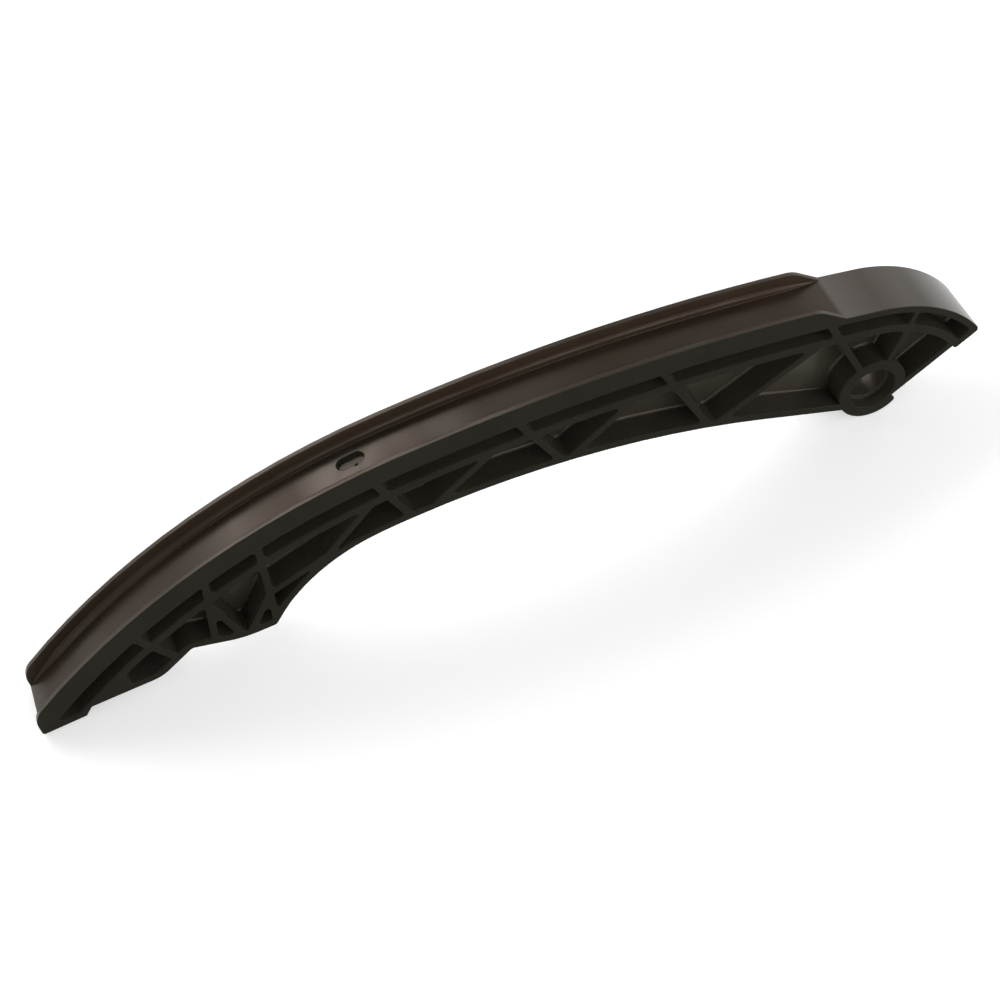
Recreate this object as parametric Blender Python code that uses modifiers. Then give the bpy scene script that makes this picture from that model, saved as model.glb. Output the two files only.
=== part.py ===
# Timing chain guide: one moulded plastic rail.
# The chain runs in the channel along its upper, convex side. A bolt through the boss carries
# the rail at one end, and the chain tensioner pushes on the pad under the other end.
# X runs along the rail from the free end to the nose, Y across it and Z up. Metres.
# Outlines are drawn in the side view, as a station from the free end and a height.
# A lean is an angle from straight up, towards the nose. A depth is measured down from the
# chain face.

from math import acos, asin, atan2, cos, hypot, pi, radians, sin, sqrt, tan

import bmesh
import bpy

# Width of the rail
WIDTH = 0.0170

# Chain face: three arcs that run into each other
CROWN_STATION = 0.1393
CROWN_HEIGHT = 0.0473
FACE_RADIUS = 0.4530
FACE_START_HEIGHT = 0.0015
TIP_ARC_RADIUS = 0.1804
NOSE_ARC_RADIUS = 0.0410
NOSE_ARC_PAST_PIVOT = 0.0036

# Walls and ribs
SKIN = 0.0019
GROOVE_DEPTH = 0.0040
STRINGER = 0.0022
FLANGE = 0.0020
WEB = 0.0020
RIB = 0.0018
THIN_RIB = 0.0012
CORNER_RADIUS = 0.0008

# Lips at both sides of the chain channel, and the lower skin past their end
LIP_HEIGHT = 0.0041
LIP_WALL = 0.0015
LIP_END_TO_PIVOT = 0.0142
LIP_RAMP_LENGTH = 0.0075
LIP_END_ROUND = 0.0060
RUN_OUT_LENGTH = 0.0010
RUN_OUT_SLOPE = radians(6.0)
TIP_ROUND = 0.0070
FOOT_ROUND = 0.0008

# Underside from the free end to the pad: run and rise to each corner, and its radius
FOOT_END = (0.0120, 0.0010, 0.0006)
FOOT_STEP = (0.0022, 0.0026, 0.0008)
KEEL_END = (0.0193, 0.0011, 0.0100)
PAD_HEEL = (0.0097, 0.0063, 0.0015)
PAD_CROWN = (0.0132, -0.0037, 0.0540)
PAD_TOE = (0.0086, 0.0005, 0.0015)

# Arch from the pad to the boss, and the straight that runs from it past the pivot
ARCH_STATION = 0.1217
ARCH_DEPTH = 0.0192
ARCH_RADIUS = 0.2265
HAUNCH_RADIUS = 0.0466
FLANK_TO_PIVOT = 0.0066

# Pivot boss and its stepped bore
BOSS_STATION = 0.2311
BOSS_HEIGHT = 0.0096
BOSS_RADIUS = 0.0096
BOSS_FLAT = 0.0040
BORE_RADIUS = 0.0054
COUNTERBORE_STEP = 0.0011
COUNTERBORE_DEPTH = 0.0037

# Cut below the nose: its slope, its distance from the pivot, and the wall that stands back
CUT_SLOPE = radians(29.0)
CUT_DISTANCE = 0.0086
CUT_STEP = 0.0014
CUT_WALL = 0.0016
GROOVE_END_WALL = 0.0020
NOSE_END_ROUND = 0.0016

# Oval recess in the chain face
RECESS_STATION = 0.0963
RECESS_SIDE = 0.0010
RECESS_LENGTH = 0.0076
RECESS_WIDTH = 0.0040
RECESS_DEPTH = 0.0012

# Ribs: station on the stringer, then station on the flange
TIP_RIB = (0.0342, 0.0389)
PAD_POST = (0.0518, 0.0495)
PAD_HEEL_LEG = (0.0516, 0.0493)
PAD_CROWN_LEG = (0.0512, 0.0560)
TOE_POST = (0.0673, 0.0655)
TOE_FORK_HEIGHT = 0.0200
TOE_HEEL_LEG = 0.0583
TOE_LEG = 0.0655
HAUNCH_FOOT = 0.0832
HAUNCH_BRACE = 0.0980
POSTS = ((0.1017, 0.1058), (0.1399, 0.1459), (0.1776, 0.1853))
BRACES = ((0.1302, 0.1117), (0.1676, 0.1480), (0.2179, 0.1872))
BOSS_RIB_LEAN = radians(-20.8)
NOSE_RIB_LEAN = radians(30.2)

# Facets: longest chord on a slack curve and on a tight one, and the sides of a whole circle
FACE_STEP = 0.0085
NOSE_STEP = 0.0028
CORNER_STEP = 0.0034
SHARP_TURN = radians(25.0)
ROUND_STEPS = 48
TIP_STEPS = 6
RECESS_STEPS = 8

# How far a cutter runs past the rail, the least side of an outline, the distance at which
# points are welded, and the share of a side that the rounding of one corner may take
PAST = 0.0020
LEAST_SIDE = 0.0001
WELD = 0.000001
CORNER_SHARE = 0.48

PLASTIC_COLOUR = (0.030, 0.026, 0.023, 1.0)
PLASTIC_ROUGHNESS = 0.42


# Plane geometry of the side view

def polar(centre, radius, lean):
    return (centre[0] + radius * sin(lean), centre[1] + radius * cos(lean))


def lean_of(centre, point):
    return atan2(point[0] - centre[0], point[1] - centre[1])


def distance(start, end):
    return hypot(end[0] - start[0], end[1] - start[1])


def arc(centre, radius, first, last, steps):
    return [polar(centre, radius, first + (last - first) * i / steps) for i in range(steps + 1)]


def away(start, end):
    """Unit vector from one point to another."""
    span = distance(start, end)
    return ((end[0] - start[0]) / span, (end[1] - start[1]) / span)


def shift(point, direction, span):
    return (point[0] + direction[0] * span, point[1] + direction[1] * span)


def left_of(way):
    return (-way[1], way[0])


def opposite(way):
    return (-way[0], -way[1])


def dot(first, second):
    return first[0] * second[0] + first[1] * second[1]


def line_meets_circle(point, direction, centre, radius):
    """Where a line that starts at a point inside a circle leaves it."""
    across = (point[0] - centre[0], point[1] - centre[1])
    along = dot(across, direction)
    gap = dot(across, across) - radius ** 2
    return shift(point, direction, sqrt(max(along ** 2 - gap, 0.0)) - along)


def lines_meet(point, direction, other_point, other_direction):
    gap = (other_point[0] - point[0], other_point[1] - point[1])
    normal = left_of(other_direction)
    return shift(point, direction, dot(gap, normal) / dot(direction, normal))


def touching_centre(point, radius, outer_centre, outer_radius):
    """Centre of the circle that passes a point and touches a larger one from inside, to its right."""
    reach = outer_radius - radius
    span = distance(outer_centre, point)
    share = (reach ** 2 + span ** 2 - radius ** 2) / (2 * reach * span)
    return polar(outer_centre, reach, lean_of(outer_centre, point) + acos(min(share, 1.0)))


def clip(outline, point, normal):
    """The part of a closed outline on the side of a line that its normal points to."""
    kept = []
    sides = [dot((p[0] - point[0], p[1] - point[1]), normal) for p in outline]
    for i, here in enumerate(outline):
        side, last_side = sides[i], sides[i - 1]
        if (side < 0.0) != (last_side < 0.0):
            before = outline[i - 1]
            reach = distance(before, here) * last_side / (last_side - side)
            kept.append(shift(before, away(before, here), reach))
        if side >= 0.0:
            kept.append(here)
    return without_repeats(kept)


def without_repeats(outline):
    """A closed outline without points that all but lie on the one before."""
    kept = []
    for point in outline:
        if not kept or distance(kept[-1], point) > LEAST_SIDE:
            kept.append(point)
    while len(kept) > 1 and distance(kept[-1], kept[0]) <= LEAST_SIDE:
        kept.pop()
    return kept


def turn_at(before, here, after):
    """Angle by which a path turns at a point, left turns counted as positive."""
    way_in, way_out = away(before, here), away(here, after)
    return atan2(dot(left_of(way_in), way_out), dot(way_in, way_out))


def fillet(before, here, after, radius):
    """Points of the arc that rounds a corner, as far as the sides beside it are long enough."""
    turn = turn_at(before, here, after)
    room = CORNER_SHARE * min(distance(here, before), distance(here, after))
    reach = min(radius * tan(abs(turn) / 2), room)
    radius = reach / tan(abs(turn) / 2)
    way = away(before, here)
    start = shift(here, way, -reach)
    centre = shift(start, left_of(way), radius if turn > 0 else -radius)
    first = lean_of(centre, start)
    steps = max(2, int(abs(turn) * radius / CORNER_STEP))
    return arc(centre, radius, first, first - turn, steps)


def rounded_path(corners):
    """An open path through corners, each given as station, height and radius."""
    path = [corners[0][:2]]
    for before, here, after in zip(corners, corners[1:], corners[2:]):
        path += fillet(before, here, after, here[2])
    return path + [corners[-1][:2]]


def rounded_pocket(outline, radius):
    """A closed outline with its sharp corners rounded."""
    count = len(outline)
    turns = [turn_at(outline[i - 1], outline[i], outline[(i + 1) % count]) for i in range(count)]
    sharp = [abs(turn) > SHARP_TURN for turn in turns]

    def crowds_a_corner(i):
        near = [j for j in (i - 1, (i + 1) % count) if sharp[j]]
        return any(distance(outline[i], outline[j]) < 2 * radius for j in near)

    kept = [i for i in range(count) if sharp[i] or not crowds_a_corner(i)]
    rounded = []
    for k, i in enumerate(kept):
        before, after = outline[kept[k - 1]], outline[kept[(k + 1) % len(kept)]]
        rounded += fillet(before, outline[i], after, radius) if sharp[i] else [outline[i]]
    return without_repeats(rounded)


def area(outline):
    return abs(sum(a[0] * b[1] - b[0] * a[1] for a, b in zip(outline, outline[1:] + outline[:1]))) / 2


# The chain face and the curves that lie a given depth under it

BOSS_CENTRE = (BOSS_STATION, BOSS_HEIGHT)
FACE_CENTRE = (CROWN_STATION, CROWN_HEIGHT - FACE_RADIUS)
TIP_CENTRE = touching_centre((0.0, FACE_START_HEIGHT), TIP_ARC_RADIUS, FACE_CENTRE, FACE_RADIUS)
TIP_LEAN = lean_of(FACE_CENTRE, TIP_CENTRE)
NOSE_LEAN = asin((BOSS_STATION + NOSE_ARC_PAST_PIVOT - CROWN_STATION) / FACE_RADIUS)
NOSE_CENTRE = polar(FACE_CENTRE, FACE_RADIUS - NOSE_ARC_RADIUS, NOSE_LEAN)
RAIL_ARCS = (
    (TIP_CENTRE, TIP_ARC_RADIUS, -pi / 2, TIP_LEAN, FACE_STEP),
    (FACE_CENTRE, FACE_RADIUS, TIP_LEAN, NOSE_LEAN, FACE_STEP),
    (NOSE_CENTRE, NOSE_ARC_RADIUS, NOSE_LEAN, pi / 2, NOSE_STEP),
)
LIP_END = BOSS_STATION - LIP_END_TO_PIVOT
RAMP_END = LIP_END + LIP_RAMP_LENGTH


def rail_lean(station, depth=0.0):
    """Lean of the chain face where the curve at this depth passes a station."""
    for centre, radius, first, last, step in RAIL_ARCS:
        lean = asin(max(-1.0, min(1.0, (station - centre[0]) / (radius - depth))))
        if lean <= last:
            return max(lean, first)
    return last


def rail_point(lean, depth):
    for centre, radius, first, last, step in RAIL_ARCS:
        if lean <= last:
            break
    return polar(centre, radius - depth, lean)


def rail_curve(depth, first_lean, last_lean):
    """Points of the curve at this depth, from one lean to another."""
    leans = [first_lean]
    for centre, radius, first, last, step in RAIL_ARCS:
        start, end = max(first, first_lean), min(last, last_lean)
        if end > start:
            steps = max(1, round((end - start) * radius / step))
            leans += [start + (end - start) * (i + 1) / steps for i in range(steps)]
    return [rail_point(lean, depth) for lean in leans]


def rail_way(lean):
    """Direction of the rail at a lean, towards the nose."""
    return (cos(lean), -sin(lean))


# The underside, from the free end to the boss, at a given distance inside the rail

def corners_from_steps(steps):
    """Corners as station, height and radius, from the run and rise between them."""
    corners = [(0.0, 0.0, 0.0)]
    for run, rise, radius in steps:
        corners.append((corners[-1][0] + run, corners[-1][1] + rise, radius))
    return corners


FOOT_AND_PAD = corners_from_steps((FOOT_END, FOOT_STEP, KEEL_END, PAD_HEEL, PAD_CROWN, PAD_TOE))
TOE = FOOT_AND_PAD[-1]
ARCH_CENTRE = (ARCH_STATION, CROWN_HEIGHT - ARCH_DEPTH - ARCH_RADIUS)
HAUNCH_CENTRE = touching_centre(TOE, HAUNCH_RADIUS, ARCH_CENTRE, ARCH_RADIUS)
ARCH_LEAN = lean_of(ARCH_CENTRE, HAUNCH_CENTRE)
ARCH_TO_PIVOT = distance(ARCH_CENTRE, BOSS_CENTRE)
FLANK_GAP = min(FLANK_TO_PIVOT, ARCH_TO_PIVOT - ARCH_RADIUS)
FLANK_LEAN = lean_of(ARCH_CENTRE, BOSS_CENTRE) - acos(min((ARCH_RADIUS + FLANK_GAP) / ARCH_TO_PIVOT, 1.0))


def inset_corners(corners, inset):
    """Corners of a path moved to its left by the inset, with their radii to match."""
    way = away(corners[0], corners[1])
    moved = [shift(corners[0], left_of(way), inset) + (0.0,)]
    for before, here, after in zip(corners, corners[1:], corners[2:]):
        way_in, way_out = away(before, here), away(here, after)
        side_in = shift(here, left_of(way_in), inset)
        side_out = shift(here, left_of(way_out), inset)
        radius = here[2] - inset if turn_at(before, here, after) > 0 else here[2] + inset
        moved.append(lines_meet(side_in, way_in, side_out, way_out) + (max(radius, CORNER_RADIUS / 2),))
    return moved


def haunch_and_arch(inset):
    """Arcs that follow the toe of the pad, up to the straight past the pivot."""
    path = []
    toe_lean = lean_of(HAUNCH_CENTRE, TOE)
    for centre, radius, first, last in (
        (HAUNCH_CENTRE, HAUNCH_RADIUS + inset, toe_lean, ARCH_LEAN),
        (ARCH_CENTRE, ARCH_RADIUS + inset, ARCH_LEAN, FLANK_LEAN),
    ):
        steps = max(2, round((last - first) * radius / FACE_STEP))
        path += arc(centre, radius, first, last, steps)[1:]
    return path


def underside(inset):
    """Path of the underside, moved into the rail by the inset. It ends beside the pivot."""
    arcs = haunch_and_arch(inset)
    corners = FOOT_AND_PAD + [haunch_and_arch(0.0)[0] + (0.0,)]
    if inset:
        corners = inset_corners(corners, inset) + [arcs[0] + (0.0,)]
    return rounded_path(corners)[:-1] + arcs + [polar(BOSS_CENTRE, FLANK_GAP - inset, FLANK_LEAN + pi)]


def height_on(path, station):
    """Height at which a path that runs towards the nose passes a station."""
    for start, end in zip(path, path[1:]):
        if start[0] <= station <= end[0]:
            return start[1] + (end[1] - start[1]) * (station - start[0]) / (end[0] - start[0])
    return path[-1][1]


def up_to_circle(path, centre, radius):
    """A path that ends inside a circle, cut off where it enters the circle."""
    outside = [point for point in path if distance(centre, point) > radius]
    inside = path[len(outside)]
    return outside + [line_meets_circle(inside, away(inside, outside[-1]), centre, radius)]


# The cut below the nose, a line that faces away from the pivot

CUT_WAY = (cos(CUT_SLOPE), sin(CUT_SLOPE))
CUT_NORMAL = (sin(CUT_SLOPE), -cos(CUT_SLOPE))
NOSE_STRINGER_RADIUS = NOSE_ARC_RADIUS - SKIN - GROOVE_DEPTH - STRINGER


def cut_point(span):
    return shift(BOSS_CENTRE, CUT_NORMAL, span)


def tip_outline():
    """Rounded free end of the lips, from their upper edge to the foot."""
    span = TIP_ARC_RADIUS + LIP_HEIGHT - TIP_ROUND
    centre = (TIP_ROUND, TIP_CENTRE[1] + sqrt(span ** 2 - (TIP_ROUND - TIP_CENTRE[0]) ** 2))
    return arc(centre, TIP_ROUND, lean_of(TIP_CENTRE, centre), -pi / 2, TIP_STEPS)


def side_outline():
    """Outline of the whole rail in the side view, lips included."""
    outline = up_to_circle(underside(0.0), BOSS_CENTRE, BOSS_RADIUS)
    wall_start = cut_point(CUT_DISTANCE - CUT_STEP)
    flat_start = line_meets_circle(wall_start, CUT_WAY, BOSS_CENTRE, BOSS_RADIUS)
    flat_end = shift(flat_start, CUT_WAY, -BOSS_FLAT)
    boss_right = line_meets_circle(flat_end, CUT_NORMAL, BOSS_CENTRE, BOSS_RADIUS)
    first, last = lean_of(BOSS_CENTRE, outline[-1]) % (2 * pi), lean_of(BOSS_CENTRE, boss_right)
    steps = max(2, round((first - last) / (2 * pi) * ROUND_STEPS))
    outline = outline[:-1] + arc(BOSS_CENTRE, BOSS_RADIUS, first, last, steps) + [flat_end]

    wall_end = line_meets_circle(wall_start, CUT_WAY, NOSE_CENTRE, NOSE_STRINGER_RADIUS)
    nose_end = line_meets_circle(cut_point(CUT_DISTANCE), CUT_WAY, NOSE_CENTRE, NOSE_ARC_RADIUS)
    nose = rail_curve(0.0, rail_lean(RAMP_END), lean_of(NOSE_CENTRE, nose_end))[::-1]
    outline += [wall_end, shift(wall_end, CUT_NORMAL, CUT_STEP)]
    outline += fillet(outline[-1], nose[0], nose[1], NOSE_END_ROUND) + nose[1:]

    tip = tip_outline()
    lip_top = rail_curve(-LIP_HEIGHT, lean_of(TIP_CENTRE, tip[0]), rail_lean(LIP_END))[::-1]
    outline += fillet(nose[-1], lip_top[0], lip_top[1], LIP_END_ROUND) + lip_top[1:] + tip[1:]
    return without_repeats(fillet(outline[-1], outline[0], outline[1], FOOT_ROUND) + outline[1:])


# Ribs between the stringer and the flange, each a line with a thickness

def stringer_point(station):
    depth = SKIN + GROOVE_DEPTH + STRINGER / 2
    return rail_point(rail_lean(station, depth), depth)


def flange_point(station, depth=FLANGE / 2):
    return (station, height_on(underside(depth), station))


def rib(top, foot, thickness=RIB):
    way = away(foot, top)
    return top, opposite(left_of(way)), thickness


def post(stations):
    return rib(stringer_point(stations[0]), flange_point(stations[1]))


def boss_spoke(lean, thickness):
    return rib(polar(BOSS_CENTRE, BOSS_RADIUS, lean), BOSS_CENTRE, thickness)


def between(outline, left_ribs, right_ribs):
    """The part of an outline to the right of some ribs and to the left of others."""
    for point, normal, thickness in left_ribs:
        outline = clip(outline, shift(point, normal, thickness / 2), normal)
    for point, normal, thickness in right_ribs:
        outline = clip(outline, shift(point, normal, -thickness / 2), opposite(normal))
    return outline


def groove_pockets(dividers):
    """Pockets between the skin and the stringer."""
    first = rail_lean(0.0)
    band = rail_curve(SKIN, first, pi / 2) + rail_curve(SKIN + GROOVE_DEPTH, first, pi / 2)[::-1]
    band = clip(band, cut_point(CUT_DISTANCE - GROOVE_END_WALL), opposite(CUT_NORMAL))
    left_edges = [[]] + [[divider] for divider in dividers]
    right_edges = [[divider] for divider in dividers] + [[]]
    pockets = [between(band, left, right) for left, right in zip(left_edges, right_edges)]
    foot_normal = left_of(away((0.0, 0.0), FOOT_END))
    pockets[0] = clip(pockets[0], shift((0.0, 0.0), foot_normal, FLANGE), foot_normal)
    return pockets


def truss_pockets(cells):
    """Pockets between the stringer and the flange, from the free end to the nose."""
    top = rail_curve(SKIN + GROOVE_DEPTH + STRINGER, rail_lean(FOOT_AND_PAD[2][0]), pi / 2)
    floor = underside(FLANGE)
    start = next(p for p in top if p[1] > height_on(floor, p[0]) + CORNER_RADIUS)
    top = top[top.index(start):]
    floor = [(start[0], height_on(floor, start[0]))] + [p for p in floor if p[0] > start[0]]
    below_nose = (NOSE_CENTRE[0] + NOSE_ARC_RADIUS, floor[-1][1])
    band = floor + [below_nose] + top[::-1]
    band = clip(band, cut_point(CUT_DISTANCE - CUT_STEP - CUT_WALL), opposite(CUT_NORMAL))
    return [between(band, left, right) for left, right in cells]


def pocket_outlines():
    tip, heel_leg, crown_leg = post(TIP_RIB), post(PAD_HEEL_LEG), post(PAD_CROWN_LEG)
    toe_post = post(TOE_POST)
    stringer, flange = stringer_point(TOE_POST[0]), flange_point(TOE_POST[1])
    share = (TOE_FORK_HEIGHT - flange[1]) / (stringer[1] - flange[1])
    fork = (flange[0] + (stringer[0] - flange[0]) * share, TOE_FORK_HEIGHT)
    toe_heel_leg, toe_leg = (rib(fork, flange_point(station)) for station in (TOE_HEEL_LEG, TOE_LEG))
    haunch = flange_point(HAUNCH_FOOT, FLANGE + RIB / 2)
    haunch_foot = rib(haunch, fork)
    haunch_brace = rib(stringer_point(HAUNCH_BRACE), haunch)
    posts = [post(stations) for stations in POSTS]
    braces = [post(stations) for stations in BRACES]
    boss_rib = boss_spoke(BOSS_RIB_LEAN, RIB)
    nose_rib = boss_spoke(NOSE_RIB_LEAN, THIN_RIB)

    cells = [
        ([], [tip]),
        ([tip], [heel_leg, crown_leg]),
        ([tip, heel_leg], [crown_leg, toe_post]),
        ([heel_leg, crown_leg], [toe_post, toe_heel_leg]),
        ([tip, toe_heel_leg], [toe_leg, posts[0]]),
        ([toe_leg, haunch_foot], [haunch_brace, posts[0]]),
        ([toe_post], [haunch_foot, haunch_brace]),
        ([toe_post, haunch_brace], [posts[0]]),
    ]
    for left, brace, right in zip(posts, braces, posts[1:] + [boss_rib]):
        cells += [([left], [brace, right]), ([left, brace], [right])]
    cells += [([boss_rib], [nose_rib]), ([nose_rib], [])]

    dividers = [tip, post(PAD_POST), toe_post] + posts + [boss_rib, nose_rib]
    outlines = groove_pockets(dividers) + truss_pockets(cells)
    return [rounded_pocket(outline, CORNER_RADIUS) for outline in outlines if area(outline) > RIB ** 2]


def channel_outline():
    """Side view of the space above the chain face, between the lips. It runs out past them."""
    first, last = rail_lean(-PAST), rail_lean(RAMP_END - RUN_OUT_LENGTH)
    face = rail_curve(0.0, first, last)
    run_out = shift(face[-1], rail_way(last - RUN_OUT_SLOPE), LIP_RAMP_LENGTH)
    top = rail_curve(-LIP_HEIGHT - PAST, first, last)[::-1]
    return face + [run_out, (run_out[0], top[0][1])] + top


def recess_outline():
    radius, half = RECESS_WIDTH / 2, (RECESS_LENGTH - RECESS_WIDTH) / 2
    right_end = arc((half, 0.0), radius, 0.0, pi, RECESS_STEPS)
    return right_end + arc((-half, 0.0), radius, pi, 2 * pi, RECESS_STEPS)


# Solids

def clear_scene():
    for thing in list(bpy.data.objects):
        bpy.data.objects.remove(thing, do_unlink=True)


def new_collection(name):
    collection = bpy.data.collections.new(name)
    bpy.context.scene.collection.children.link(collection)
    return collection


def welded(mesh):
    body = bmesh.new()
    body.from_mesh(mesh)
    bmesh.ops.remove_doubles(body, verts=body.verts, dist=WELD)
    bmesh.ops.recalc_face_normals(body, faces=body.faces)
    body.to_mesh(mesh)
    body.free()
    return mesh


def prism(name, outlines, thickness, collection, place=(0.0, 0.0, 0.0), turn=(pi / 2, 0.0, 0.0)):
    """Closed outlines given a thickness. Drawn upright in the side view unless it is turned."""
    curve = bpy.data.curves.new(name, "CURVE")
    curve.dimensions = "2D"
    curve.fill_mode = "BOTH"
    curve.extrude = thickness / 2
    for outline in outlines:
        spline = curve.splines.new("POLY")
        spline.points.add(len(outline) - 1)
        for point, (across, up) in zip(spline.points, outline):
            point.co = (across, up, 0.0, 1.0)
        spline.use_cyclic_u = True
    drawn = bpy.data.objects.new(name + "_outline", curve)
    drawn.location = place
    drawn.rotation_euler = turn
    collection.objects.link(drawn)
    bpy.context.view_layer.update()
    evaluated = drawn.evaluated_get(bpy.context.evaluated_depsgraph_get())
    mesh = bpy.data.meshes.new_from_object(evaluated)
    mesh.transform(drawn.matrix_world)
    bpy.data.objects.remove(drawn, do_unlink=True)
    solid = bpy.data.objects.new(name, welded(mesh))
    collection.objects.link(solid)
    return solid


def turned(name, profile, place, collection):
    """A profile of radius and height turned round an axis that runs across the rail."""
    mesh = bpy.data.meshes.new(name)
    points = [(radius, 0.0, height) for radius, height in profile]
    mesh.from_pydata(points, [(i, i + 1) for i in range(len(points) - 1)], [])
    solid = bpy.data.objects.new(name, mesh)
    collection.objects.link(solid)
    solid.location = place
    solid.rotation_euler = (pi / 2, 0.0, 0.0)
    screw = solid.modifiers.new("Turn", "SCREW")
    screw.steps = screw.render_steps = ROUND_STEPS
    screw.use_merge_vertices = True
    screw.merge_threshold = WELD
    screw.use_smooth_shade = False
    return solid


def cut(body, cutter):
    boolean = body.modifiers.new("Cut " + cutter.name, "BOOLEAN")
    boolean.operation = "DIFFERENCE"
    boolean.solver = "EXACT"
    boolean.object = cutter
    cutter.hide_render = True
    cutter.display_type = "WIRE"


def plastic():
    material = bpy.data.materials.new("rail_plastic")
    material.use_nodes = True
    shader = material.node_tree.nodes["Principled BSDF"]
    shader.inputs["Base Color"].default_value = PLASTIC_COLOUR
    shader.inputs["Roughness"].default_value = PLASTIC_ROUGHNESS
    shader.inputs["Metallic"].default_value = 0.0
    material.diffuse_color = PLASTIC_COLOUR
    return material


def pocket_cutter(side, cutters, middle):
    """All pockets of one side, left solid where the boss passes through them."""
    name = "front" if side < 0 else "back"
    depth = (WIDTH - WEB) / 2 + PAST
    place = (-middle, side * (WEB + depth) / 2, 0.0)
    pockets = prism("pockets_" + name, pocket_outlines(), depth, cutters, place)
    half = WIDTH / 2 + 2 * PAST
    profile = [(0.0, half), (BOSS_RADIUS, half), (BOSS_RADIUS, -half), (0.0, -half)]
    boss = turned("boss_" + name, profile, (BOSS_STATION - middle, 0.0, BOSS_HEIGHT), cutters)
    cut(pockets, boss)
    return pockets


def channel_cutter(cutters, middle):
    return prism("chain_channel", [channel_outline()], WIDTH - 2 * LIP_WALL, cutters, (-middle, 0.0, 0.0))


def bore_cutter(cutters, middle):
    mouth, step = WIDTH / 2 + PAST, WIDTH / 2 - COUNTERBORE_DEPTH
    mouth_radius = BORE_RADIUS + COUNTERBORE_STEP
    half = [(0.0, mouth), (mouth_radius, mouth), (mouth_radius, step), (BORE_RADIUS, step)]
    profile = half + [(radius, -height) for radius, height in half[::-1]]
    return turned("pivot_bore", profile, (BOSS_STATION - middle, 0.0, BOSS_HEIGHT), cutters)


def recess_cutter(cutters, middle):
    lean = rail_lean(RECESS_STATION)
    height = 2 * PAST
    station, up = rail_point(lean, RECESS_DEPTH - height / 2)
    place = (station - middle, RECESS_SIDE, up)
    return prism("recess", [recess_outline()], height, cutters, place, (0.0, lean, 0.0))


def build_rail(parts, cutters):
    outline = side_outline()
    middle = max(station for station, height in outline) / 2
    rail = prism("guide_rail", [outline], WIDTH, parts, (-middle, 0.0, 0.0))
    cut(rail, channel_cutter(cutters, middle))
    cut(rail, recess_cutter(cutters, middle))
    for side in (-1, 1):
        cut(rail, pocket_cutter(side, cutters, middle))
    cut(rail, bore_cutter(cutters, middle))
    rail.data.materials.append(plastic())
    rail.data.shade_smooth()
    rail.data.set_sharp_from_angle(angle=SHARP_TURN)
    return rail


clear_scene()
build_rail(new_collection("timing_chain_guide"), new_collection("cutters"))
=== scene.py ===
from math import ceil, cos, pi, radians, sin

import bmesh
import bpy
from mathutils import Matrix, Vector


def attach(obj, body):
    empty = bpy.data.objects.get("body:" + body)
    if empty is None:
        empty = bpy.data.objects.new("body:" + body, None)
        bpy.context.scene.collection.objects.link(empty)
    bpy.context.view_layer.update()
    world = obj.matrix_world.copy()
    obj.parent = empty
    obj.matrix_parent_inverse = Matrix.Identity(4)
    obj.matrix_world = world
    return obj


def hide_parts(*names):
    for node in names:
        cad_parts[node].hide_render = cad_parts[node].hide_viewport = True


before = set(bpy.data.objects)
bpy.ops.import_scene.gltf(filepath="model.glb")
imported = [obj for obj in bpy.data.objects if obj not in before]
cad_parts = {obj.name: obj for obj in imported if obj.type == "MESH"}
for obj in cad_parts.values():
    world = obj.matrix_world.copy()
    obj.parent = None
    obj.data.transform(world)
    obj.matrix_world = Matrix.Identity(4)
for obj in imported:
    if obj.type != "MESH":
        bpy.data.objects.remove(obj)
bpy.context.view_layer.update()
print("frame loaded")


# Node helpers

def addNode(tree, kind, name, **settings):
    node = tree.nodes.new(kind)
    node.name = node.label = name
    for key, value in settings.items():
        setattr(node, key, value)
    return node


def feed(tree, node, **sources):
    # each key names an input, or numbers it as i0 does; a socket is linked, a plain value is set
    for key, source in sources.items():
        numbered = key[0] == "i" and key[1:].isdigit()
        socket = node.inputs[int(key[1:]) if numbered else key]
        if isinstance(source, bpy.types.NodeSocket):
            tree.links.new(source, socket)
        else:
            socket.default_value = source
    return node


def calc(tree, operation, first, second=0.0, clamp=False):
    node = addNode(tree, "ShaderNodeMath", operation.lower(), operation=operation, use_clamp=clamp)
    return feed(tree, node, i0=first, i1=second).outputs[0]


def remap(tree, value, low, high, toLow=0.0, toHigh=1.0):
    node = addNode(tree, "ShaderNodeMapRange", "remap", interpolation_type="SMOOTHSTEP")
    feed(tree, node, i0=value, i1=low, i2=high, i3=toLow, i4=toHigh)
    return node.outputs[0]


def mixColours(tree, share, first, second, blend="MIX"):
    node = addNode(tree, "ShaderNodeMix", "mix colours", data_type="RGBA", blend_type=blend)
    feed(tree, node, i0=share, i6=first, i7=second)
    return node.outputs[2]


def addNoise(tree, name, place, scale, detail, rough):
    noise = addNode(tree, "ShaderNodeTexNoise", name)
    return feed(tree, noise, Vector=place, Scale=scale, Detail=detail, Roughness=rough).outputs[0]


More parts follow.
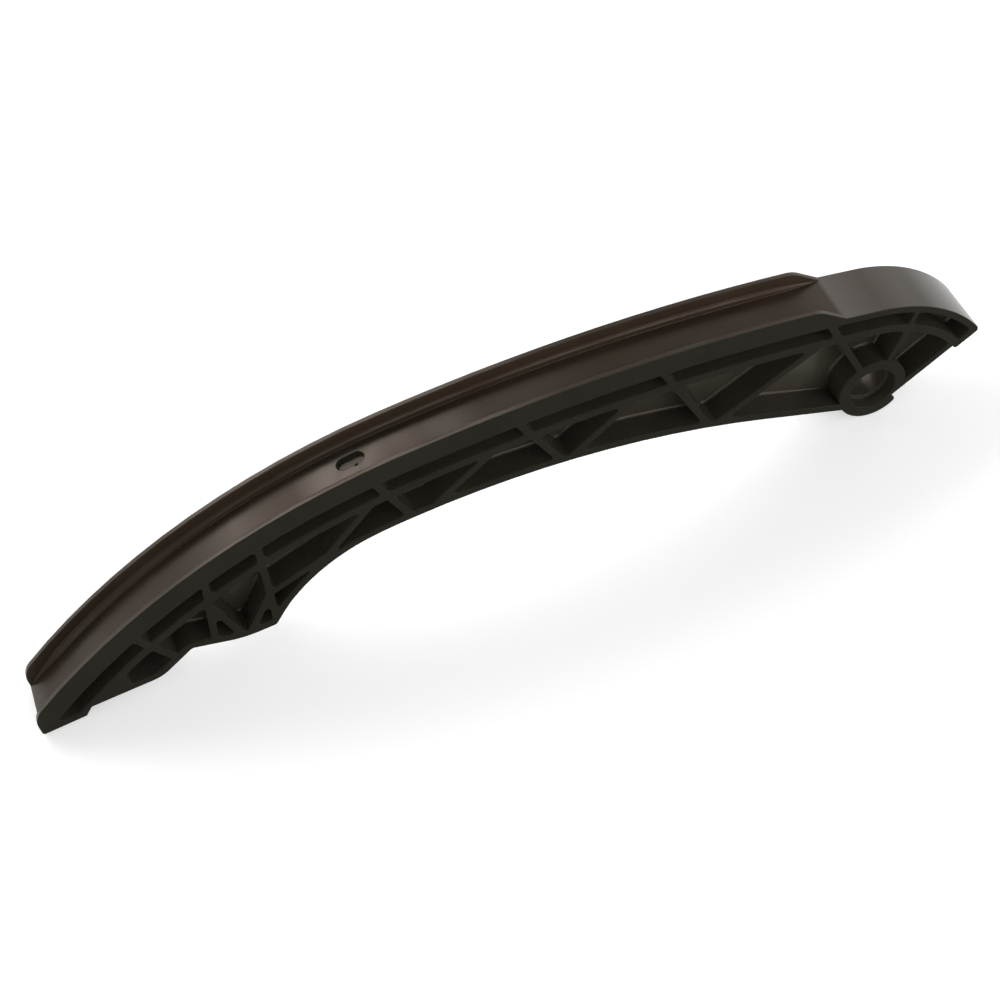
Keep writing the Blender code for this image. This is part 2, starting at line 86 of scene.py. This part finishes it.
# Rail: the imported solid's faces with a smoother outline and moulded edges,
# and fillets where its ribs meet the web and where the chain's channel meets its walls
railSet = {
    "weld": 0.000002,  # the solid's triangles are joined where they meet this closely
    "slack": 0.00001,  # how far a point may lie off the plane or place it belongs to
    "halfWidth": 0.0085,
    "sharpAngle": radians(40),
    "edgeOn": 0.01,  # how far a full-width face may lean sideways
    "flatOn": 0.99,  # how far the side plane's faces look sideways, at least
    "acrossFrom": 0.9,  # the same for the channel's walls and the web
    "chainFrom": -0.3,  # faces that look further down than this aren't the chain's
    # outline: smooth turns become curves, sharp outer corners are cut round
    "gentleTurn": radians(24.5),
    "closeTurn": radians(50),
    "closeSpan": 0.0015,
    "evenSpans": 1.3,
    "cornerTurn": radians(60),
    "cornerCut": 0.0008,
    "cornerShare": 0.75,
    "stepTurn": radians(2.5),
    "mostSteps": 8,
    # rims and fillets
    "rimRadius": 0.0003,
    "rimSteps": 4,
    "webHalf": 0.0010,
    "filletReach": 0.0004,
    "filletSteps": 16,
    "channelHalf": 0.0070,
    "channelReach": 0.0013,
    "footBend": -1.0,  # hollow edges that turn further than this, in radians
    "endTrim": 0.004,
    "fadeShare": 0.05,
    "leastFade": 0.02,
    # places inside the chain's reach that aren't its face: the recess and the bore
    "recessReach": 0.0040,
    "boss": (0.10038, 0.0096),
    "bossReach": 0.0075,
}


def mergedSolid(node):
    mesh = node.data.copy()
    body = bmesh.new()
    body.from_mesh(mesh)
    bmesh.ops.remove_doubles(body, verts=body.verts, dist=railSet["weld"])
    body.to_mesh(mesh)
    body.free()
    mesh.materials.clear()
    return mesh


def outlineStrips(body):
    # the points of the outline, and the full-width faces two by two, by the numbers of the
    # two points that each pair joins
    edge = railSet["halfWidth"] - railSet["slack"]
    points, strips = [], {}
    for face in body.faces:
        across = [vert.co.y for vert in face.verts]
        if abs(face.normal.y) > railSet["edgeOn"] or min(across) > -edge or max(across) < edge:
            continue
        ends = set()
        for vert in face.verts:
            gaps = [(point - vert.co.xz).length for point in points]
            if not gaps or min(gaps) > railSet["slack"]:
                ends.add(len(points))
                points.append(vert.co.xz)
            else:
                ends.add(gaps.index(min(gaps)))
        strips.setdefault(tuple(sorted(ends)), []).append(face)
    pairs = {ends: faces for ends, faces in strips.items() if len(ends) == 2 and len(faces) == 2}
    return points, pairs


def outlinePath(points, pairs):
    # the points' numbers in order from the tip, or none where they aren't one open line
    links = {}
    for first, last in pairs:
        links.setdefault(first, []).append(last)
        links.setdefault(last, []).append(first)
    ends = [number for number, near in links.items() if len(near) == 1]
    if len(ends) != 2 or max(len(near) for near in links.values()) > 2:
        return []
    path = [min(ends, key=lambda end: points[end].x)]
    onward = links[path[0]]
    while onward:
        path.append(onward[0])
        onward = [number for number in links[path[-1]] if number != path[-2]]
    return path


def curveTo(line, end, number, leave, arrive):
    # takes a line on from its last spot to the end, on a curve with the given ways at its ends
    start = line[-1][0]
    reach = (end - start).length
    wanted = ceil(leave.angle(arrive) / railSet["stepTurn"])
    steps = min(railSet["mostSteps"], max(1, wanted))
    for step in range(1, steps):
        t = step / steps
        rise = t * t * (3.0 - 2.0 * t)
        bend = leave * (t * (1.0 - t) ** 2) - arrive * (t * t * (1.0 - t))
        line.append((start.lerp(end, rise) + bend * reach, None))
    line.append((end, number))


def finerOutline(points, path):
    # the spots of the smooth outline, each with its number where it is a point of the solid
    steps = [points[last] - points[first] for first, last in zip(path, path[1:])]
    line = [(points[path[0]], path[0])]
    leave = steps[0].normalized()
    for number, before, after in zip(path[1:], steps, steps[1:] + steps[-1:]):
        point = points[number]
        way, onward = before.normalized(), after.normalized()
        turn = way.angle(onward)
        short, long = sorted((before, after), key=lambda step: step.length)
        if turn > railSet["cornerTurn"] and way.cross(onward) > 0.0:
            cut = min(railSet["cornerCut"], railSet["cornerShare"] * short.length)
            curveTo(line, point - way * cut, None, leave, way)
            curveTo(line, point + onward * cut, None, way, onward)
            leave = onward
            continue
        close = turn < railSet["closeTurn"] and long.length < railSet["closeSpan"]
        if turn < railSet["gentleTurn"] or close:
            even = long.length < short.length * railSet["evenSpans"]
            way = onward = (way + onward if even else long).normalized()
        curveTo(line, point, number, leave, way)
        leave = onward
    return line


def smoothOutline(body):
    points, pairs = outlineStrips(body)
    path = outlinePath(points, pairs)
    if not path:
        print("the outline keeps its facets")
        return
    old, corners = [], {}
    for ends in zip(path, path[1:]):
        for face in pairs[tuple(sorted(ends))]:
            old.append(face)
            for vert in face.verts:
                number = min(ends, key=lambda end: (points[end] - vert.co.xz).length)
                corners[number, vert.co.y > 0.0] = vert
    left, right = min(points[number].x for number in path), max(points[number].x for number in path)
    bottom = min(points[number].y for number in path)
    bmesh.ops.delete(body, geom=old, context="FACES")
    rows = []
    for spot, number in finerOutline(points, path):
        row = []
        for side in (-1, 1):
            vert = corners.get((number, side > 0))
            if vert is None:
                x = min(max(spot.x, left), right)
                vert = body.verts.new((x, side * railSet["halfWidth"], max(spot.y, bottom)))
            row.append(vert)
        rows.append(row)
    for lower, upper in zip(rows, rows[1:]):
        body.faces.new((lower[0], lower[1], upper[1], upper[0])).normal_update()


def onSide(verts, side):
    level = side * railSet["halfWidth"]
    return all(abs(vert.co.y - level) < railSet["slack"] for vert in verts)


def sideEdges(body, side):
    # the side plane comes off, and its rims are the edges left open there
    flat = [
        face for face in body.faces
        if face.normal.y * side > railSet["flatOn"] and onSide(face.verts, side)
    ]
    bmesh.ops.delete(body, geom=flat, context="FACES")
    return [edge for edge in body.edges if len(edge.link_faces) == 1 and onSide(edge.verts, side)]


def inwardWays(edges):
    # at each rim point, the way into the plastic that keeps the same distance from both walls
    walls = {}
    for edge in edges:
        for vert in edge.verts:
            walls.setdefault(vert, []).append(edge.link_faces[0].normal.copy())
    return {
        vert: -(first + last) / (1.0 + first.dot(last))
        for vert, (first, last) in walls.items()
    }


def roundRims(body, side):
    edges = sideEdges(body, side)
    ways = inwardWays(edges)
    spots = {vert: vert.co.copy() for vert in ways}
    radius, steps = railSet["rimRadius"], railSet["rimSteps"]
    pairs = [tuple(edge.verts) for edge in edges]
    rings = [{vert: vert for vert in ways}]
    for step in range(1, steps + 1):
        turn = 0.5 * pi * step / steps
        ring = {}
        for vert, way in ways.items():
            spot = spots[vert] + way * (radius * (1.0 - cos(turn)))
            spot.y = side * (railSet["halfWidth"] - radius + radius * sin(turn))
            ring[vert] = body.verts.new(spot)
        rings.append(ring)
    for vert in ways:
        vert.co.y = side * (railSet["halfWidth"] - radius)
    for lower, upper in zip(rings, rings[1:]):
        for first, last in pairs:
            body.faces.new((lower[first], lower[last], upper[last], upper[first]))
    inner = [body.edges.get((rings[-1][first], rings[-1][last])) for first, last in pairs]
    for edge in edges + inner:  # rounded rims shade by themselves, faces beside them stay even
        edge.smooth = False
    bmesh.ops.triangle_fill(body, use_beauty=True, edges=inner, normal=(0.0, side, 0.0))


def markZones(body):
    # the chain face, the walls beside it and the pocket floors, told apart for colours and fillets
    chain = body.faces.layers.float.new("chainFace")
    lip = body.faces.layers.float.new("lip")
    web = body.faces.layers.float.new("webFloor")
    slack, facing = railSet["slack"], railSet["acrossFrom"]
    wallIn, wallOut = railSet["channelHalf"] - slack, railSet["channelHalf"] + slack
    for face in body.faces:
        spots = [vert.co.y for vert in face.verts]
        reach = [abs(spot) for spot in spots]
        across = abs(face.normal.y) > facing
        fromBoss = (face.calc_center_median().xz - Vector(railSet["boss"])).length
        spans = min(spots) < -wallIn and max(spots) > wallIn
        if not across and face.normal.z > railSet["chainFrom"] and fromBoss > railSet["bossReach"]:
            lipTop = wallIn < min(reach) < wallOut < max(reach)
            runs = spans or railSet["recessReach"] < max(reach) < wallOut
            face[chain] = 1.0 if runs else 0.5 * lipTop
        if across and wallIn < min(reach) and max(reach) < wallOut:
            face[lip] = 1.0
    for face in body.faces:
        gap = max(abs(abs(vert.co.y) - railSet["webHalf"]) for vert in face.verts)
        beside = [other for edge in face.edges for other in edge.link_faces if other is not face]
        onWeb = gap < slack and abs(face.normal.y) > facing
        if onWeb and not any(other[chain] for other in beside):
            face[web] = 1.0


def mouldedRail(node):
    mesh = mergedSolid(node)
    body = bmesh.new()
    body.from_mesh(mesh)
    smoothOutline(body)
    for side in (-1, 1):
        roundRims(body, side)
    bmesh.ops.recalc_face_normals(body, faces=body.faces)
    for edge in body.edges:
        if edge.calc_face_angle(0.0) > railSet["sharpAngle"]:
            edge.smooth = False
    for face in body.faces:
        face.smooth = True
    markZones(body)
    body.to_mesh(mesh)
    body.free()
    return mesh


def hollowStrips(tree, curves, reach, steps, size=1.0):
    # strips along curves in upright planes, their section a star with hollow sides:
    # one side of it shows in each corner, whichever way a curve runs
    flat = addNode(tree, "GeometryNodeTransform", "lay flat")
    feed(tree, flat, Geometry=curves, Rotation=(pi / 2, 0.0, 0.0))
    upright = addNode(tree, "GeometryNodeSetCurveNormal", "normals across the web", mode="Z_UP")
    feed(tree, upright, Curve=flat.outputs[0])
    ring = addNode(tree, "GeometryNodeCurvePrimitiveCircle", "fillet profile", mode="RADIUS")
    feed(tree, ring, Resolution=steps, Radius=reach)
    corner = addNode(tree, "GeometryNodeInputPosition", "profile point").outputs[0]
    squared = addNode(tree, "ShaderNodeVectorMath", "squared", operation="MULTIPLY")
    feed(tree, squared, i0=corner, i1=corner)
    cubed = addNode(tree, "ShaderNodeVectorMath", "cubed", operation="MULTIPLY")
    feed(tree, cubed, i0=squared.outputs[0], i1=corner)
    hollow = addNode(tree, "ShaderNodeVectorMath", "hollow sides", operation="SCALE")
    feed(tree, hollow, i0=cubed.outputs[0], Scale=calc(tree, "POWER", reach, -2.0))
    star = addNode(tree, "GeometryNodeSetPosition", "star profile")
    feed(tree, star, Geometry=ring.outputs[0], Position=hollow.outputs[0])
    strip = addNode(tree, "GeometryNodeCurveToMesh", "fillet strips")
    feed(tree, strip, Curve=upright.outputs[0], i1=star.outputs[0], Scale=size)
    strip.inputs["Fill Caps"].default_value = True
    back = addNode(tree, "GeometryNodeTransform", "stand up again")
    feed(tree, back, Geometry=strip.outputs[0], Rotation=(-pi / 2, 0.0, 0.0))
    smooth = addNode(tree, "GeometryNodeSetShadeSmooth", "smooth strips")
    return feed(tree, smooth, Geometry=back.outputs[0]).outputs[0]


def filletTree():
    # fillets along every edge where a rib, the skin or the boss stands on the web
    tree = bpy.data.node_groups.new("webFillets", "GeometryNodeTree")
    tree.interface.new_socket("Geometry", in_out="INPUT", socket_type="NodeSocketGeometry")
    sizes = (
        "Reach", "Channel Half", "Channel Slack", "Channel Reach",
        "Foot Bend", "End Trim", "Fade Share", "Least Fade",
    )
    for name in sizes:
        tree.interface.new_socket(name, in_out="INPUT", socket_type="NodeSocketFloat")
    tree.interface.new_socket("Steps", in_out="INPUT", socket_type="NodeSocketInt")
    tree.interface.new_socket("Finish", in_out="INPUT", socket_type="NodeSocketMaterial")
    tree.interface.new_socket("Geometry", in_out="OUTPUT", socket_type="NodeSocketGeometry")
    given = addNode(tree, "NodeGroupInput", "sizes").outputs

    place = addNode(tree, "GeometryNodeInputPosition", "place").outputs[0]
    split = feed(tree, addNode(tree, "ShaderNodeSeparateXYZ", "place parts"), i0=place)
    across = calc(tree, "ABSOLUTE", split.outputs[1])

    web = addNode(tree, "GeometryNodeInputNamedAttribute", "web floor", data_type="FLOAT")
    onWeb = calc(tree, "GREATER_THAN", feed(tree, web, Name="webFloor").outputs[0], 0.5)
    floors = addNode(tree, "GeometryNodeSeparateGeometry", "pocket floors", domain="FACE")
    feed(tree, floors, Geometry=given["Geometry"], Selection=onWeb)
    neighbours = addNode(tree, "GeometryNodeInputMeshEdgeNeighbors", "faces at an edge").outputs[0]
    rim = addNode(tree, "FunctionNodeCompare", "rim of a floor", data_type="INT", operation="EQUAL")
    feed(tree, rim, i2=neighbours, i3=1)
    loops = addNode(tree, "GeometryNodeMeshToCurve", "floor rims")
    feed(tree, loops, Mesh=floors.outputs[0], Selection=rim.outputs[0])
    webStrips = hollowStrips(tree, loops.outputs[0], given["Reach"], given["Steps"])

    # the same along both feet of the channel's walls, fading out at their ends
    beside = calc(tree, "ABSOLUTE", calc(tree, "SUBTRACT", across, given["Channel Half"]))
    onWall = calc(tree, "LESS_THAN", beside, given["Channel Slack"])
    bend = addNode(tree, "GeometryNodeInputMeshEdgeAngle", "bend at an edge").outputs[1]
    foot = calc(tree, "MULTIPLY", onWall, calc(tree, "LESS_THAN", bend, given["Foot Bend"]))
    feet = addNode(tree, "GeometryNodeMeshToCurve", "wall feet")
    feed(tree, feet, Mesh=given["Geometry"], Selection=foot)
    shorter = addNode(tree, "GeometryNodeTrimCurve", "clear of the ends")
    lastSpot = calc(tree, "SUBTRACT", 1.0, given["End Trim"])
    feed(tree, shorter, i0=feet.outputs[0], i2=given["End Trim"], i3=lastSpot)
    share = addNode(tree, "GeometryNodeSplineParameter", "share of the way").outputs[0]
    nearEnd = calc(tree, "MINIMUM", share, calc(tree, "SUBTRACT", 1.0, share))
    fade = calc(tree, "DIVIDE", nearEnd, given["Fade Share"], clamp=True)
    fade = calc(tree, "MAXIMUM", fade, given["Least Fade"])
    footLines = shorter.outputs[0]
    feetStrips = hollowStrips(tree, footLines, given["Channel Reach"], given["Steps"], fade)

    joined = addNode(tree, "GeometryNodeJoinGeometry", "rail and fillets")
    for part in (feetStrips, webStrips, given["Geometry"]):
        tree.links.new(part, joined.inputs[0])
    real = addNode(tree, "GeometryNodeRealizeInstances", "real mesh")
    feed(tree, real, Geometry=joined.outputs[0])
    done = addNode(tree, "GeometryNodeSetMaterial", "plastic")
    feed(tree, done, Geometry=real.outputs[0], Material=given["Finish"])
    out = addNode(tree, "NodeGroupOutput", "result")
    tree.links.new(done.outputs[0], out.inputs[0])
    return tree


def runTree(piece, tree, values):
    modifier = piece.modifiers.new(tree.name, "NODES")
    modifier.node_group = tree
    for item in tree.interface.items_tree:
        if item.in_out == "INPUT" and item.name in values:
            modifier[item.identifier] = values[item.name]
    view = bpy.context.evaluated_depsgraph_get()
    mesh = bpy.data.meshes.new_from_object(piece.evaluated_get(view), depsgraph=view)
    piece.modifiers.clear()
    return mesh


def makeRail():
    piece = bpy.data.objects.new("guideRail", mouldedRail(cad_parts["guide_rail"]))
    bpy.context.scene.collection.objects.link(piece)
    piece.data = runTree(piece, filletTree(), {
        "Reach": railSet["filletReach"],
        "Channel Half": railSet["channelHalf"],
        "Channel Slack": railSet["slack"],
        "Channel Reach": railSet["channelReach"],
        "Foot Bend": railSet["footBend"],
        "End Trim": railSet["endTrim"],
        "Fade Share": railSet["fadeShare"],
        "Least Fade": railSet["leastFade"],
        "Steps": railSet["filletSteps"],
        "Finish": railPlastic(),
    })
    piece.data.name = "guideRail"
    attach(piece, "root")
    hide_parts("guide_rail")
    print("rail made:", len(piece.data.polygons), "faces")


# Plastic: near black with a warm cast, semi-gloss, marked lengthwise where the chain runs
plasticSet = {
    # the pockets' lighter tone and the outer side faces' darker one are painted light and painted
    # shade on one plastic
    "pocketLightTone": (0.030, 0.0270, 0.0205, 1.0),
    "sideShadeTone": (0.0132, 0.0124, 0.0090, 1.0),
    "chainTone": (0.016, 0.0130, 0.0100, 1.0),
    # a lighter brown painted on the channel's walls, a painted glow standing in for light through
    # the thin lips
    "lipGlowTone": (0.044, 0.026, 0.0155, 1.0),
    "dark": (0.88, 0.88, 0.88, 1.0),
    "pale": (1.12, 1.12, 1.12, 1.0),
    "tint": (1.0, 0.81, 0.66, 1.0),
    "chainIndex": 1.5,
    "pocketIndex": 1.36,
    "sideIndex": 1.12,
    # between these widths the outer faces take the painted shade and turn duller; the rounded rims
    # in between keep part of the pockets' lighter tone, a painted highlight
    "dullShadeFrom": 0.00822,
    "dullShadeTo": 0.00849,
    "roughLow": 0.16,
    "roughHigh": 0.21,
    "pocketRough": 0.09,
    "dullRough": 0.12,
    "cloud": (55.0, 4.0, 0.6),  # scale, detail and roughness of each noise
    "grain": (2600.0, 2.0, 0.5),
    "flow": (1.0, 3.0, 0.6),
    "flowScale": (30.0, 900.0, 900.0),
    "cloudFrom": 0.25,
    "cloudTo": 0.75,
    "streakShare": 0.4,
    "blotchFrom": 0.2,
    "blotchTo": 0.8,
    "grainDepth": 0.00004,
    "grainStrength": 0.12,
    "softEdge": 0.00025,
    "softSamples": 6,
}


def plasticTone(tree, cloud, outside, chain, lip):
    # painted light in the pockets, painted shade on the outer side faces, a painted highlight on
    # their rims
    tone = mixColours(tree, outside, plasticSet["pocketLightTone"], plasticSet["sideShadeTone"])
    tone = mixColours(tree, chain, tone, plasticSet["chainTone"])
    # the channel's walls take the painted brown glow
    tone = mixColours(tree, lip, tone, plasticSet["lipGlowTone"])
    cloudy = remap(tree, cloud, plasticSet["cloudFrom"], plasticSet["cloudTo"])
    shade = mixColours(tree, cloudy, plasticSet["dark"], plasticSet["pale"])
    return mixColours(tree, 1.0, tone, shade, "MULTIPLY")


def plasticIndex(tree, chain, dull):
    index = remap(tree, chain, 0.0, 1.0, plasticSet["pocketIndex"], plasticSet["chainIndex"])
    return remap(tree, dull, 0.0, 1.0, index, plasticSet["sideIndex"])


def plasticRoughness(tree, cloud, flow, chain, dull):
    share = calc(tree, "MULTIPLY", chain, plasticSet["streakShare"])
    streak = calc(tree, "MULTIPLY", calc(tree, "SUBTRACT", flow, 0.5), share)
    rough = remap(
        tree, calc(tree, "ADD", cloud, streak),
        plasticSet["blotchFrom"], plasticSet["blotchTo"],
        plasticSet["roughLow"], plasticSet["roughHigh"],
    )
    more = remap(tree, chain, 0.0, 1.0, plasticSet["pocketRough"], 0.0)
    duller = calc(tree, "MULTIPLY", dull, plasticSet["dullRough"])
    return calc(tree, "ADD", calc(tree, "ADD", rough, more), duller)


def railPlastic():
    material = bpy.data.materials.new("railPlastic")
    material.use_nodes = True
    tree = material.node_tree
    shader = tree.nodes["Principled BSDF"]
    place = addNode(tree, "ShaderNodeTexCoord", "place").outputs["Object"]
    cloud = addNoise(tree, "cloudy colour", place, *plasticSet["cloud"])
    grain = addNoise(tree, "spark grain", place, *plasticSet["grain"])
    along = addNode(tree, "ShaderNodeMapping", "lengthwise")
    feed(tree, along, Vector=place, Scale=plasticSet["flowScale"])
    flow = addNoise(tree, "flow lines", along.outputs[0], *plasticSet["flow"])

    # the pockets keep a lighter tone and the outermost side faces a darker one, painted light and
    # painted shade on one plastic, and the side faces are duller; their rounded rims stay partly in
    # the lighter tone, a painted highlight. The channel's walls are painted a lighter brown, a
    # painted glow standing in for light through the thin lips
    across = feed(tree, addNode(tree, "ShaderNodeSeparateXYZ", "place parts"), i0=place).outputs[1]
    width = calc(tree, "ABSOLUTE", across)
    outside = remap(tree, width, plasticSet["dullShadeFrom"], plasticSet["dullShadeTo"])
    chain, lip = (
        addNode(tree, "ShaderNodeAttribute", name, attribute_name=name).outputs["Fac"]
        for name in ("chainFace", "lip")
    )
    dull = calc(tree, "MAXIMUM", outside, lip)
    tone = plasticTone(tree, cloud, outside, chain, lip)
    rough = plasticRoughness(tree, cloud, flow, chain, dull)
    tree.links.new(tone, shader.inputs["Base Color"])
    tree.links.new(rough, shader.inputs["Roughness"])
    tree.links.new(plasticIndex(tree, chain, dull), shader.inputs["IOR"])
    shader.inputs["Specular Tint"].default_value = plasticSet["tint"]

    soft = addNode(tree, "ShaderNodeBevel", "soft edges", samples=plasticSet["softSamples"])
    feed(tree, soft, Radius=plasticSet["softEdge"])
    bump = addNode(tree, "ShaderNodeBump", "grain height")
    feed(tree, bump, Strength=plasticSet["grainStrength"], Distance=plasticSet["grainDepth"])
    feed(tree, bump, Height=grain, Normal=soft.outputs[0])
    tree.links.new(bump.outputs[0], shader.inputs["Normal"])
    return material


# Camera at the photograph's angle: from above, a little from the free end's side
cameraSet = {
    "place": (-0.05039, -0.3123, 0.38688),
    "right": (0.92848, -0.33611, -0.15795),
    "up": (0.35754, 0.69400, 0.62492),
    "lens": 68.4,
    "sensor": 36.0,
    "nearest": 0.01,
}


def makeCamera():
    right = Vector(cameraSet["right"]).normalized()
    back = right.cross(Vector(cameraSet["up"])).normalized()
    turn = Matrix((right, back.cross(right), back)).transposed().to_4x4()
    data = bpy.data.cameras.new("photoCamera")
    data.lens = cameraSet["lens"]
    data.sensor_width = cameraSet["sensor"]
    data.clip_start = cameraSet["nearest"]
    camera = bpy.data.objects.new("photoCamera", data)
    camera.matrix_world = Matrix.Translation(cameraSet["place"]) @ turn
    bpy.context.scene.collection.objects.link(camera)
    bpy.context.scene.camera = camera
    print("camera set")


# Studio: a white floor under soft lamps, in a pale room with a dark ceiling
studioSet = {
    "floorHalf": 1.6,
    "floorDrop": 0.0002,
    "floorShade": (0.82, 0.82, 0.82, 1.0),
    "floorRough": 0.9,
    "floorGlow": 0.4,
    "roomShade": (1.0, 1.0, 1.0, 1.0),
    "wall": 1.08,
    "wallTop": 0.65,
    "ceiling": 0.12,
    "ceilingFrom": 0.72,
    "lamps": {  # place, size and power; each one points at the rail
        "backLamp": ((-0.228, 0.637, 0.61), (0.68, 0.46), 3.8),
        "sideLamp": ((0.655, 0.655, 0.375), (0.40, 0.45), 0.25),
        "tipLamp": ((-0.676, 0.653, 0.342), (0.45, 0.50), 0.35),
        "frontLamp": ((0.48, -0.80, 0.32), (1.10, 0.62), 5.6),
    },
}


def seenRays(tree):
    # 1 for rays of the camera and of mirrors and clear things, 0 for rays that only light
    path = addNode(tree, "ShaderNodeLightPath", "kind of ray")
    seen = calc(tree, "MAXIMUM", path.outputs["Is Camera Ray"], path.outputs["Is Glossy Ray"])
    return calc(tree, "MAXIMUM", seen, path.outputs["Is Transmission Ray"])


def makeFloor():
    size, drop = 2 * studioSet["floorHalf"], studioSet["floorDrop"]
    bpy.ops.mesh.primitive_plane_add(size=size, location=(0, 0, -drop))
    floor = bpy.context.object
    floor.name = "floor"
    material = bpy.data.materials.new("paleFloor")
    material.use_nodes = True
    tree = material.node_tree
    shader = tree.nodes["Principled BSDF"]
    shader.inputs["Base Color"].default_value = studioSet["floorShade"]
    shader.inputs["Roughness"].default_value = studioSet["floorRough"]
    glow = addNode(tree, "ShaderNodeEmission", "glow")
    strength = calc(tree, "MULTIPLY", seenRays(tree), studioSet["floorGlow"])
    feed(tree, glow, Color=(1.0, 1.0, 1.0, 1.0), Strength=strength)
    both = addNode(tree, "ShaderNodeAddShader", "floor and glow")
    feed(tree, both, i0=shader.outputs[0], i1=glow.outputs[0])
    tree.links.new(both.outputs[0], tree.nodes["Material Output"].inputs["Surface"])
    floor.data.materials.append(material)


def makeRoom():
    world = bpy.data.worlds.new("paleRoom")
    world.use_nodes = True
    tree = world.node_tree
    way = addNode(tree, "ShaderNodeTexCoord", "way").outputs["Generated"]
    height = feed(tree, addNode(tree, "ShaderNodeSeparateXYZ", "height"), i0=way).outputs[2]
    light = remap(
        tree, height, studioSet["wallTop"], studioSet["ceilingFrom"],
        studioSet["wall"], studioSet["ceiling"],
    )
    feed(tree, tree.nodes["Background"], Color=studioSet["roomShade"], Strength=light)
    bpy.context.scene.world = world


def makeLamp(name, place, size, power):
    data = bpy.data.lights.new(name, "AREA")
    data.shape = "RECTANGLE"
    data.size, data.size_y = size
    data.energy = power
    lamp = bpy.data.objects.new(name, data)
    lamp.location = place
    lamp.rotation_euler = (-Vector(place)).to_track_quat("-Z", "Y").to_euler()
    bpy.context.scene.collection.objects.link(lamp)


makeRail()
makeCamera()
makeFloor()
makeRoom()
for lampName, (lampPlace, lampSize, lampPower) in studioSet["lamps"].items():
    makeLamp(lampName, lampPlace, lampSize, lampPower)
bpy.context.scene.view_settings.view_transform = "Standard"
print("studio set")
